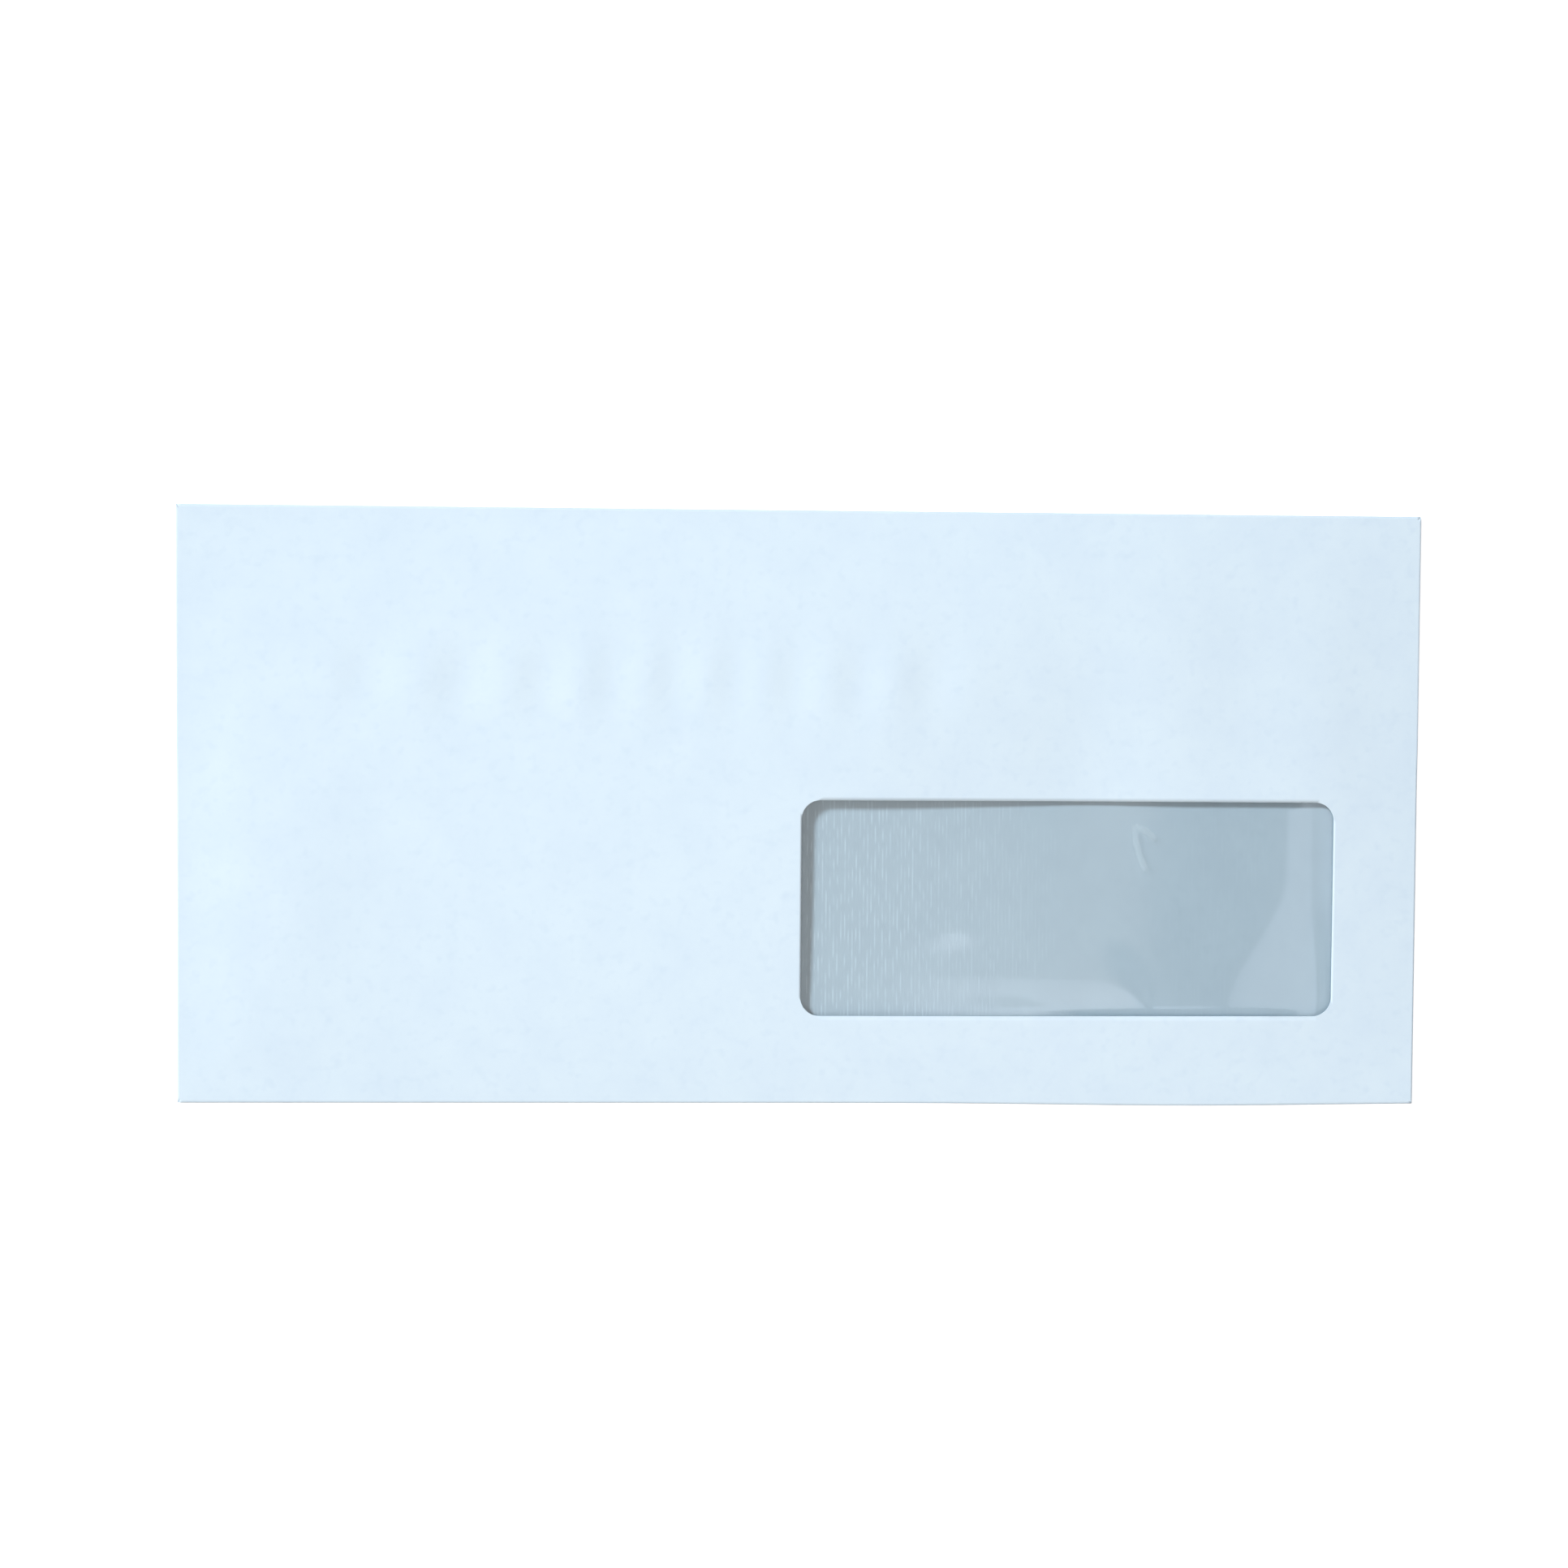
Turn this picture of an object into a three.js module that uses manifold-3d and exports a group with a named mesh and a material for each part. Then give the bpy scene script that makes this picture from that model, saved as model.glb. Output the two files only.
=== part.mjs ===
// A window envelope, empty and unsealed, lying on its back with the address side up.
// Millimetres. +X is to the right, +Y towards the seal flap's fold, +Z up from the table.
// One sheet of paper is folded into the front panel, two side flaps, the back panel and the
// seal flap, which is turned under. A clear film is glued behind the window.

import * as THREE from 'three';
import { mergeVertices } from 'three/addons/utils/BufferGeometryUtils.js';
import Module from 'manifold-3d';

const wasm = await Module();
wasm.setup();

// Sheet
const envelopeWidth = 230;
const envelopeHeight = 110;
const paperThickness = 0.12;
const cornerRelief = 0.9;       // the folds stop this far short of the corners

// Front panel, which stands up from its folds like a low pillow
const pillowRise = 1.7;
const pillowPower = 2.5;        // higher is flatter in the middle and steeper at the folds
const windowDip = 1.3;          // the panel sags again along the window's weak upper edge
const windowDipReachX = 24;
const windowDipReachY = 26;

// Window
const windowWidth = 100;
const windowHeight = 40;
const windowFromRight = 15.7;
const windowFromBottom = 16.5;
const windowCornerRadius = 3.5;

// Film and its glue
const filmThickness = 0.04;
const filmOverlap = 7;          // how far the film reaches past the window on each side
const filmGlueWidth = 4;
const filmGlueThickness = 0.05;
const filmLayerGap = 0.1;       // clear between front panel, glue and film

// Side flaps, turned in behind the front panel
const sideFlapWidth = 14;
const sideFlapTaper = 6;

// Back panel, turned up from the bottom fold and glued over the side flaps
const throatDepth = 20;         // from the top fold down to the back panel's edge
const backPanelCornerCut = 7;
const seamGlueWidth = 7;
const seamGlueThickness = 0.04;
const seamGlueEndMargin = 3;
const seamGap = 0.02;           // clear on both sides of the seam glue

// Seal flap, turned under at the top fold, with its band of gum
const sealFlapDepth = 40;
const sealFlapTaper = 9;
const sealFlapCornerRadius = 8;
const gumBandWidth = 13;
const gumEdgeMargin = 1.5;
const gumEndMargin = 4;
const gumThickness = 0.03;
const sealFlapGap = 0.3;        // clear between the gum and the back panel above it

// Where the back panel climbs from the table over the seal flap
const rampLength = 8;
const rampLead = 3;             // the climb is over this far before the seal flap begins

// Folds and facets
const foldTail = 0.1;           // flat stretch on both sides of each round fold
const pocketGap = 0.15;         // clear between side flap and front panel at their fold
const arcSteps = 8;
const rampSteps = 6;
const panelStep = 5;
const cornerSteps = 8;

// Levels above the table, each the underside of its layer
const backPanelRise = paperThickness + gumThickness + sealFlapGap;
const seamDepth = seamGlueThickness + 2 * seamGap;
const sideFlapLift = paperThickness + seamDepth;
const frontEdgeLevel = backPanelRise + sideFlapLift + paperThickness + pocketGap;
const frontEdgeTop = frontEdgeLevel + paperThickness;

// Plan positions
const halfWidth = envelopeWidth / 2;
const halfHeight = envelopeHeight / 2;
const crossFoldRadius = frontEdgeTop / 2;
const sideFoldRadius = (frontEdgeTop - sideFlapLift) / 2;
const panelHalfX = halfWidth - sideFoldRadius - foldTail;
const panelHalfY = halfHeight - crossFoldRadius - foldTail;
const foldHalfX = halfWidth - cornerRelief;
const foldHalfY = halfHeight - cornerRelief;
const windowCentreX = halfWidth - windowFromRight - windowWidth / 2;
const windowCentreY = -halfHeight + windowFromBottom + windowHeight / 2;
const windowTop = windowCentreY + windowHeight / 2;
const backPanelTop = halfHeight - throatDepth;
const sealFlapEdge = halfHeight - sealFlapDepth;
const rampEnd = sealFlapEdge - rampLead;
const rampStart = rampEnd - rampLength;
const sideFlapInner = halfWidth - sideFlapWidth;

const { lerp, smoothstep } = THREE.MathUtils;

// Underside of the back panel: on the table, then up over the seal flap
function backPanelLevel(y) {
  return backPanelRise * smoothstep(y, rampStart, rampEnd);
}

function sideFlapLevel(y) {
  return backPanelLevel(y) + sideFlapLift;
}

// Underside of the front panel: level at the folds, crowned between them
function frontPanelLevel(x, y) {
  const crown = 1 - Math.abs(x / panelHalfX) ** pillowPower;
  const crossCrown = 1 - Math.abs(y / panelHalfY) ** pillowPower;
  const alongWindow = (x - windowCentreX) / windowDipReachX;
  const awayFromEdge = (y - windowTop) / windowDipReachY;
  const dip = windowDip * Math.exp(-(alongWindow ** 2) - awayFromEdge ** 2);
  return frontEdgeLevel + crown * crossCrown * (pillowRise - dip);
}

// A box whose every vertex is put in place by a function of its three shares, 0 to 1
function placedBox(uSteps, vSteps, place) {
  const geometry = new THREE.BoxGeometry(1, 1, 1, uSteps, vSteps, 1);
  const position = geometry.attributes.position;
  for (let i = 0; i < position.count; i += 1) {
    const [x, y, z] = place(position.getX(i) + 0.5, position.getY(i) + 0.5, position.getZ(i) + 0.5);
    position.setXYZ(i, x, y, z);
  }
  return geometry;
}

// A sheet over a rectangle of the plan, with its underside at level(x, y)
function crownedSheet(left, right, bottom, top, thickness, level) {
  const uSteps = Math.ceil((right - left) / panelStep);
  const vSteps = Math.ceil((top - bottom) / panelStep);
  return placedBox(uSteps, vSteps, (u, v, w) => {
    const x = lerp(left, right, u);
    const y = lerp(bottom, top, v);
    return [x, y, level(x, y) + w * thickness];
  });
}

// Rows along Y that all sheets over the ramp share: one flat stretch, the climb, another flat one
function rampRow(share, bottom, top) {
  const step = share * (rampSteps + 2);
  if (step <= 1) {
    return lerp(bottom, rampStart, step);
  }
  if (step >= rampSteps + 1) {
    return lerp(rampEnd, top, step - rampSteps - 1);
  }
  return lerp(rampStart, rampEnd, (step - 1) / rampSteps);
}

function rampedSheet(left, right, bottom, top, thickness, level) {
  return placedBox(1, rampSteps + 2, (u, v, w) => {
    const y = rampRow(v, bottom, top);
    return [lerp(left, right, u), y, level(y) + w * thickness];
  });
}

// One point of a fold's section, from the front panel's edge round to the flap's edge.
// depth is 0 on the outer face and 1 on the inner face.
function foldSection(share, outerReach, panelReach, lowerLevel, depth) {
  const outerRadius = (frontEdgeTop - lowerLevel) / 2;
  const radius = outerRadius - depth * paperThickness;
  const centreReach = outerReach - outerRadius;
  const centreHeight = lowerLevel + outerRadius;
  const step = share * (arcSteps + 2);
  const along = THREE.MathUtils.clamp(step - 1, 0, arcSteps) / arcSteps;
  const angle = Math.PI / 2 - along * Math.PI;
  const tail = Math.max(1 - step, step - arcSteps - 1, 0);
  const reach = lerp(centreReach + radius * Math.cos(angle), panelReach, tail);
  return [reach, centreHeight + radius * Math.sin(angle)];
}

// The fold along the top (side 1) or the bottom (side -1)
function crossFold(side) {
  return placedBox(1, arcSteps + 2, (u, v, w) => {
    const depth = side > 0 ? 1 - w : w;
    const [reach, height] = foldSection(v, halfHeight, panelHalfY, 0, depth);
    return [lerp(-foldHalfX, foldHalfX, u), side * reach, height];
  });
}

// The fold down the right edge (side 1) or the left edge (side -1)
function sideFold(side) {
  return placedBox(arcSteps + 2, rampSteps + 2, (u, v, w) => {
    const depth = side > 0 ? 1 - w : w;
    const y = rampRow(v, -foldHalfY, foldHalfY);
    const [reach, height] = foldSection(u, halfWidth, panelHalfX, sideFlapLevel(y), depth);
    return [side * reach, y, height];
  });
}

// A closed mesh as a solid that can be joined and cut
function solidOf(geometry) {
  geometry.deleteAttribute('normal');
  geometry.deleteAttribute('uv');
  const merged = mergeVertices(geometry);
  return new wasm.Manifold(new wasm.Mesh({
    numProp: 3,
    vertProperties: new Float32Array(merged.attributes.position.array),
    triVerts: new Uint32Array(merged.index.array),
  }));
}

function geometryOf(solid) {
  const mesh = solid.getMesh();
  const geometry = new THREE.BufferGeometry();
  geometry.setAttribute('position', new THREE.BufferAttribute(mesh.vertProperties, 3));
  geometry.setIndex(new THREE.BufferAttribute(mesh.triVerts, 1));
  geometry.computeVertexNormals();
  return geometry;
}

// A flat outline given a thickness from the level up
function flatSheet(shape, level, thickness) {
  const geometry = new THREE.ExtrudeGeometry(shape, {
    depth: thickness,
    bevelEnabled: false,
    curveSegments: cornerSteps,
  });
  geometry.translate(0, 0, level);
  return geometry;
}

// A tall cutter over an outline, which passes right through the layers
function cutter(shape) {
  const reach = frontEdgeTop + pillowRise;
  return solidOf(flatSheet(shape, -reach, 3 * reach));
}

function rectangle(left, right, bottom, top) {
  const shape = new THREE.Shape();
  shape.moveTo(left, bottom);
  shape.lineTo(right, bottom);
  shape.lineTo(right, top);
  shape.lineTo(left, top);
  shape.closePath();
  return shape;
}

function roundedRectangle(left, right, bottom, top, radius) {
  const shape = new THREE.Shape();
  shape.moveTo(left + radius, bottom);
  shape.absarc(right - radius, bottom + radius, radius, -Math.PI / 2, 0);
  shape.absarc(right - radius, top - radius, radius, 0, Math.PI / 2);
  shape.absarc(left + radius, top - radius, radius, Math.PI / 2, Math.PI);
  shape.absarc(left + radius, bottom + radius, radius, Math.PI, 1.5 * Math.PI);
  shape.closePath();
  return shape;
}

// The rectangle that lies the given distance outside the window
function aroundWindow(distance) {
  const reachX = windowWidth / 2 + distance;
  const reachY = windowHeight / 2 + distance;
  return [
    windowCentreX - reachX,
    windowCentreX + reachX,
    windowCentreY - reachY,
    windowCentreY + reachY,
  ];
}

function frontPanel() {
  const panel = crownedSheet(
    -panelHalfX, panelHalfX, -panelHalfY, panelHalfY, paperThickness, frontPanelLevel);
  const opening = roundedRectangle(...aroundWindow(0), windowCornerRadius);
  return solidOf(panel).subtract(cutter(opening));
}

function backPanel() {
  const panel = rampedSheet(
    -foldHalfX, foldHalfX, -panelHalfY, backPanelTop, paperThickness, backPanelLevel);
  const outline = new THREE.Shape();
  outline.moveTo(-foldHalfX, -panelHalfY);
  outline.lineTo(foldHalfX, -panelHalfY);
  outline.lineTo(foldHalfX, backPanelTop - backPanelCornerCut);
  outline.lineTo(foldHalfX - backPanelCornerCut, backPanelTop);
  outline.lineTo(-foldHalfX + backPanelCornerCut, backPanelTop);
  outline.lineTo(-foldHalfX, backPanelTop - backPanelCornerCut);
  outline.closePath();
  return solidOf(panel).intersect(cutter(outline));
}

function sideFlap(side) {
  const edges = [side * sideFlapInner, side * panelHalfX].sort((a, b) => a - b);
  const flap = rampedSheet(...edges, -foldHalfY, foldHalfY, paperThickness, sideFlapLevel);
  const outline = new THREE.Shape();
  outline.moveTo(side * panelHalfX, -foldHalfY);
  outline.lineTo(side * panelHalfX, foldHalfY);
  outline.lineTo(side * sideFlapInner, foldHalfY - sideFlapTaper);
  outline.lineTo(side * sideFlapInner, -foldHalfY + sideFlapTaper);
  outline.closePath();
  return solidOf(flap).intersect(cutter(outline));
}

// Half width of the seal flap at a given height, on its slanted side edge
function sealFlapHalfWidth(y) {
  return foldHalfX - sealFlapTaper * (panelHalfY - y) / (panelHalfY - sealFlapEdge);
}

function sealFlap() {
  const edgeHalf = sealFlapHalfWidth(sealFlapEdge);
  const roundStart = sealFlapEdge + sealFlapCornerRadius;
  const roundHalf = sealFlapHalfWidth(roundStart);
  const outline = new THREE.Shape();
  outline.moveTo(-foldHalfX, panelHalfY);
  outline.lineTo(-roundHalf, roundStart);
  outline.quadraticCurveTo(-edgeHalf, sealFlapEdge, -edgeHalf + sealFlapCornerRadius, sealFlapEdge);
  outline.lineTo(edgeHalf - sealFlapCornerRadius, sealFlapEdge);
  outline.quadraticCurveTo(edgeHalf, sealFlapEdge, roundHalf, roundStart);
  outline.lineTo(foldHalfX, panelHalfY);
  outline.closePath();
  return solidOf(flatSheet(outline, 0, paperThickness));
}

function envelopeBlank() {
  const parts = [backPanel(), sealFlap(), sideFlap(-1), sideFlap(1)];
  const folds = [crossFold(-1), crossFold(1), sideFold(-1), sideFold(1)];
  const sheet = [...parts, ...folds.map(solidOf)].reduce((whole, part) => whole.add(part), frontPanel());
  return geometryOf(sheet);
}

function windowFilm() {
  const drop = 2 * filmLayerGap + filmGlueThickness + filmThickness;
  return crownedSheet(
    ...aroundWindow(filmOverlap), filmThickness, (x, y) => frontPanelLevel(x, y) - drop);
}

// A ring of glue between the front panel and the film's margin
function windowGlue() {
  const drop = filmLayerGap + filmGlueThickness;
  const inner = (filmOverlap - filmGlueWidth) / 2;
  const patch = crownedSheet(
    ...aroundWindow(inner + filmGlueWidth), filmGlueThickness, (x, y) => frontPanelLevel(x, y) - drop);
  return geometryOf(solidOf(patch).subtract(cutter(rectangle(...aroundWindow(inner)))));
}

// A line of glue between the back panel and a side flap
function sideSeamGlue(side) {
  const centre = side * (sideFlapInner + foldHalfX) / 2;
  return rampedSheet(
    centre - seamGlueWidth / 2,
    centre + seamGlueWidth / 2,
    -foldHalfY + sideFlapTaper + seamGlueEndMargin,
    backPanelTop - backPanelCornerCut - seamGlueEndMargin,
    seamGlueThickness,
    (y) => backPanelLevel(y) + paperThickness + seamGap,
  );
}

// The dried gum along the seal flap's free edge, on the face that meets the back panel
function flapGum() {
  const bottom = sealFlapEdge + gumEdgeMargin;
  const halfLength = sealFlapHalfWidth(bottom) - gumEndMargin;
  const band = roundedRectangle(
    -halfLength, halfLength, bottom, bottom + gumBandWidth, sealFlapCornerRadius / 2);
  return flatSheet(band, paperThickness, gumThickness);
}

const paper = new THREE.MeshStandardMaterial({ color: 0xeaf2f8, roughness: 0.85, metalness: 0 });
const film = new THREE.MeshStandardMaterial({
  color: 0xe6eef2,
  roughness: 0.08,
  metalness: 0,
  transparent: true,
  opacity: 0.3,
});
const glue = new THREE.MeshStandardMaterial({ color: 0xe9e7dc, roughness: 0.5, metalness: 0 });
const gum = new THREE.MeshStandardMaterial({ color: 0xdfd8c4, roughness: 0.25, metalness: 0 });

const envelope = new THREE.Group();

function addPiece(name, geometry, material) {
  const piece = new THREE.Mesh(geometry, material);
  piece.name = name;
  envelope.add(piece);
}

addPiece('envelope_blank', envelopeBlank(), paper);
addPiece('window_film', windowFilm(), film);
addPiece('window_glue', windowGlue(), glue);
addPiece('side_seam_glue_left', sideSeamGlue(-1), glue);
addPiece('side_seam_glue_right', sideSeamGlue(1), glue);
addPiece('flap_gum', flapGum(), gum);

export default envelope;
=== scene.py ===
import math

import bmesh
import bpy
from mathutils import Matrix, Vector


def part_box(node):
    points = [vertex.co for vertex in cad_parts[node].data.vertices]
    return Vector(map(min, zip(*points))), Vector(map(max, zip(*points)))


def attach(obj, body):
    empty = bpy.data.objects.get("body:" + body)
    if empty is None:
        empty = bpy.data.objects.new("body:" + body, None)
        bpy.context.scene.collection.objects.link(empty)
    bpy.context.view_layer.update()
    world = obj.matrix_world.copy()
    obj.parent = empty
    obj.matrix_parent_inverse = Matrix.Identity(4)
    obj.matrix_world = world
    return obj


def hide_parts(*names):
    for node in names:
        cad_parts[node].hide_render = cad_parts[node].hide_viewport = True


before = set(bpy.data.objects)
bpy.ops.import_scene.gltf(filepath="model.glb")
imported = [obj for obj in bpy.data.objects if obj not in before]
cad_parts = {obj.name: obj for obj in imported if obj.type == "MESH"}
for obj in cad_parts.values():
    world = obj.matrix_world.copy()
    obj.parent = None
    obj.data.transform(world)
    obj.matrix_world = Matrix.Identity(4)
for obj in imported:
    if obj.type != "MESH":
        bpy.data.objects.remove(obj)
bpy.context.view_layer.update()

# Window envelope, empty and unsealed, on its back on a white table.
# Shapes are worked out in millimetres and brought to metres when a mesh is finished.

mm = 0.001
tolerance = 1e-3  # mm, within which two places are one
blankHigh = Vector(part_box("envelope_blank")[1]) / mm
filmLow, filmHigh = [Vector(corner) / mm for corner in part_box("window_film")]
print("frame loaded, envelope", round(blankHigh.x * 2, 1), "x", round(blankHigh.y * 2, 1), "mm")

paper = {
    "thickness": 0.12,
    "edgeTop": 1.04,            # top face at the folds
    "mitre": 0.06,              # share by which two folds fall short of meeting at a corner
    "mitreLength": 1.6,
    "foldTail": 0.1,
    "foldSteps": 8,
    "meshStep": 1.5,
    "cornerCuts": 8,            # straight cuts round each window corner
    "cornerRadius": 3.5,
    "cornerSlack": 0.005,       # the straight cuts may pass this far outside the round corner
    "foldRow": 0.5,             # a narrow row of faces beside each fold
    "windowTrim": (0.35, 0.2),  # the die cut it this much narrower at the left and the right
}

pillow = {
    "rise": 1.7,                # middle of the front panel above its folds
    "power": 2.5,
    "dip": 1.35,                # sag along the window's upper edge
    "dipReach": (30.0, 25.0),
    "bottomBow": 0.5,           # the bottom edge bows out this far
    "bottomBowAt": 73.0,
    "bottomBowReach": 34.0,
    "bottomBowDepth": 12.0,
}

# Ripples that the gum band behind has pulled into the front panel
ripples = {
    "height": 0.145,
    "centreY": 23.6,
    "reachY": 6.5,
    "centreX": -15.5,
    "pitch": 10.9,              # between ripples at centreX
    "widening": 0.0024,         # pitch gained per mm squared away from there
    "growth": 1.8,              # the outer ripples are at most this many times as high
    "startX": -92.0,
    "endX": 50.0,
    "fade": (12.0, 40.0),
}

# Broad, shallow waves in the right half of the front panel
waves = {
    "height": 0.1,
    "pitch": 30.0,
    "startX": 5.0,
    "fade": (40.0, 18.0),
    "centreY": 18.0,
    "reachY": 24.0,
}

# Low swellings of the front panel: x, y, height, reach along x, reach along y.
# They fade out beside its folds.
swellingFade = 12.0
swellings = [
    (-98.0, -12.0, 0.6, 18.0, 30.0),
    (20.0, 6.0, 0.35, 26.0, 20.0),
]

flaps = {
    "throatDepth": 20.0,        # top fold down to the back panel's edge
    "backCornerCut": 7.0,
    "sealDepth": 40.0,
    "sealTaper": 9.0,
    "sealRound": 8.0,
    "sealRoundRows": 8,
    "sealBelow": 0.3,           # of all the sheet's flaps, only the seal flap is lower than this
    "sideWidth": 14.0,
    "sideTaper": 6.0,
    "sideLift": 0.2,            # underside of the side flaps over the back panel's
    "backRise": 0.45,           # how far the back panel climbs over the seal flap
    "rampLength": 8.0,
    "rampLead": 3.0,
    "rowStep": 3.0,
}

halfWidth = blankHigh.x
halfHeight = blankHigh.y
t = paper["thickness"]
crossRadius = paper["edgeTop"] / 2
sideRadius = (paper["edgeTop"] - flaps["sideLift"]) / 2
panelX = halfWidth - sideRadius - paper["foldTail"]
panelY = halfHeight - crossRadius - paper["foldTail"]
filmOverlap = 7.0               # film behind the paper on each side of the window
windowLeft = filmLow.x + filmOverlap + paper["windowTrim"][0]
windowRight = filmHigh.x - filmOverlap - paper["windowTrim"][1]
windowBottom, windowTop = filmLow.y + filmOverlap, filmHigh.y - filmOverlap
frontMid = paper["edgeTop"] - t / 2
sealEdge = halfHeight - flaps["sealDepth"]
backTop = halfHeight - flaps["throatDepth"]


def smooth(value, start, end):
    share = min(max((value - start) / (end - start), 0.0), 1.0)
    return share * share * (3.0 - 2.0 * share)


def bell(value, centre, reach):
    return math.exp(-((value - centre) / reach) ** 2)


# Height of the front panel's middle layer: level at the folds, crowned between them
def frontHeight(x, y):
    crown = max(1.0 - abs(x / panelX) ** pillow["power"], 0.0)
    crown *= max(1.0 - abs(y / panelY) ** pillow["power"], 0.0)
    windowX = (windowLeft + windowRight) / 2
    reachX, reachY = pillow["dipReach"]
    dip = pillow["dip"] * bell(x, windowX, reachX) * bell(y, windowTop, reachY)
    return frontMid + crown * (pillow["rise"] - dip)


def rippleHeight(x, y):
    widening = math.sqrt(ripples["widening"] / ripples["pitch"])
    phase = math.atan((x - ripples["centreX"]) * widening) / (widening * ripples["pitch"])
    along = smooth(x, ripples["startX"], ripples["startX"] + ripples["fade"][0])
    along *= 1.0 - smooth(x, ripples["endX"] - ripples["fade"][1], ripples["endX"])
    across = bell(y, ripples["centreY"], ripples["reachY"])
    growth = min(1.0 + (widening * (x - ripples["centreX"])) ** 2, ripples["growth"])
    height = ripples["height"] * growth
    return -height * math.sin(2.0 * math.pi * phase) * along * across


def waveHeight(x, y):
    along = smooth(x, waves["startX"], waves["startX"] + waves["fade"][0])
    along *= 1.0 - smooth(x, panelX - waves["fade"][1], panelX)
    across = bell(y, waves["centreY"], waves["reachY"])
    return waves["height"] * math.sin(2.0 * math.pi * x / waves["pitch"]) * along * across


def panelHeight(x, y):
    height = frontHeight(x, y) + rippleHeight(x, y) + waveHeight(x, y)
    edge = smooth(min(panelX - abs(x), panelY - abs(y)), 0.0, swellingFade)
    for centreX, centreY, rise, reachX, reachY in swellings:
        height += rise * bell(x, centreX, reachX) * bell(y, centreY, reachY) * edge
    return height


def backLevel(y):
    end = sealEdge - flaps["rampLead"]
    return flaps["backRise"] * smooth(y, end - flaps["rampLength"], end)


# Distance outside the window's rounded outline, negative inside it
def outsideWindow(x, y):
    radius = paper["cornerRadius"]
    dx = abs(x - (windowLeft + windowRight) / 2) - (windowRight - windowLeft) / 2 + radius
    dy = abs(y - (windowBottom + windowTop) / 2) - (windowTop - windowBottom) / 2 + radius
    return math.hypot(max(dx, 0.0), max(dy, 0.0)) + min(max(dx, dy), 0.0) - radius


def gridOver(bm, left, right, bottom, top, step):
    columns = round((right - left) / step)
    rows = round((top - bottom) / step)
    verts = bmesh.ops.create_grid(bm, x_segments=columns, y_segments=rows, size=1.0)["verts"]
    bmesh.ops.scale(bm, vec=((right - left) / 2, (top - bottom) / 2, 1.0), verts=verts)
    bmesh.ops.translate(bm, vec=((left + right) / 2, (bottom + top) / 2, 0.0), verts=verts)
    return verts


# Cut the faces near a spot along a plane, and leave the rest of the grid whole
def cutNear(bm, left, right, bottom, top, point, normal):
    faces = []
    for face in bm.faces:
        centre = face.calc_center_median()
        if left <= centre.x <= right and bottom <= centre.y <= top:
            faces.append(face)
    edges = dict.fromkeys(edge for face in faces for edge in face.edges)  # always in one order
    verts = dict.fromkeys(vert for face in faces for vert in face.verts)
    bmesh.ops.bisect_plane(bm, geom=[*verts, *edges, *faces], dist=1e-5, plane_co=point, plane_no=normal)


def cutWindow(bm):
    margin = 2.0 * paper["meshStep"]
    radius = paper["cornerRadius"]
    near = (windowLeft - margin, windowRight + margin, windowBottom - margin, windowTop + margin)
    for x in (windowLeft, windowRight):
        cutNear(bm, *near, (x, 0, 0), (1, 0, 0))
    for y in (windowBottom, windowTop):
        cutNear(bm, *near, (0, y, 0), (0, 1, 0))
    for sideX, x in ((-1, windowLeft + radius), (1, windowRight - radius)):
        for sideY, y in ((-1, windowBottom + radius), (1, windowTop - radius)):
            low = (x + min(sideX, 0) * radius, y + min(sideY, 0) * radius)
            high = (x + max(sideX, 0) * radius, y + max(sideY, 0) * radius)
            for cut in range(paper["cornerCuts"]):
                angle = (cut + 0.5) / paper["cornerCuts"] * math.pi / 2
                normal = Vector((sideX * math.cos(angle), sideY * math.sin(angle), 0))
                point = Vector((x, y, 0)) + normal * radius
                cutNear(bm, low[0], high[0], low[1], high[1], point, normal)
    opening = []
    for face in bm.faces:
        centre = face.calc_center_median()
        if outsideWindow(centre.x, centre.y) < paper["cornerSlack"]:
            opening.append(face)
    bmesh.ops.delete(bm, geom=opening, context="FACES")


def edgesAlong(bm, test):
    return [edge for edge in bm.edges if edge.is_boundary and all(test(vert.co) for vert in edge.verts)]


# Turn an edge of the sheet right over, and give back its new edges
def foldOver(bm, edges, centre, axis, angle):
    verts = dict.fromkeys(vert for edge in edges for vert in edge.verts)
    turned = bmesh.ops.spin(
        bm, geom=[*verts, *edges], cent=centre, axis=axis,
        angle=angle, steps=paper["foldSteps"], use_merge=False)
    return [item for item in turned["geom_last"] if isinstance(item, bmesh.types.BMEdge)]


def extendSheet(bm, edges, move):
    grown = bmesh.ops.extrude_edge_only(bm, edges=edges)["geom"]
    verts = [item for item in grown if isinstance(item, bmesh.types.BMVert)]
    for vert in verts:
        vert.co = move(vert.co)
    return [item for item in grown if isinstance(item, bmesh.types.BMEdge)]


# Rows from one place to another, close together near the end
def rowsBetween(start, end, step, fineEnd=0.0):
    length = abs(end - start)
    direction = 1 if end > start else -1
    count = max(round((length - fineEnd) / step), 1)
    rows = [start + direction * (length - fineEnd) * (i + 1) / count for i in range(count)]
    fineCount = flaps["sealRoundRows"] if fineEnd else 0
    for i in range(fineCount):
        turn = (i + 1) / fineCount * math.pi / 2
        rows.append(end - direction * fineEnd * (1.0 - math.sin(turn)))
    return rows


def sealHalfWidth(y):
    along = (panelY - y) / (panelY - sealEdge)
    width = panelX - flaps["sealTaper"] * along
    into = max(flaps["sealRound"] - (y - sealEdge), 0.0)
    corner = flaps["sealRound"]
    return width - corner + math.sqrt(max(corner ** 2 - into ** 2, 0.0))


def growSealFlap(bm, edges):
    before = panelY
    for y in rowsBetween(panelY, sealEdge, flaps["rowStep"], flaps["sealRound"]):
        share = sealHalfWidth(y) / sealHalfWidth(before)
        edges = extendSheet(bm, edges, lambda co: Vector((co.x * share, y, t / 2)))
        before = y


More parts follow.
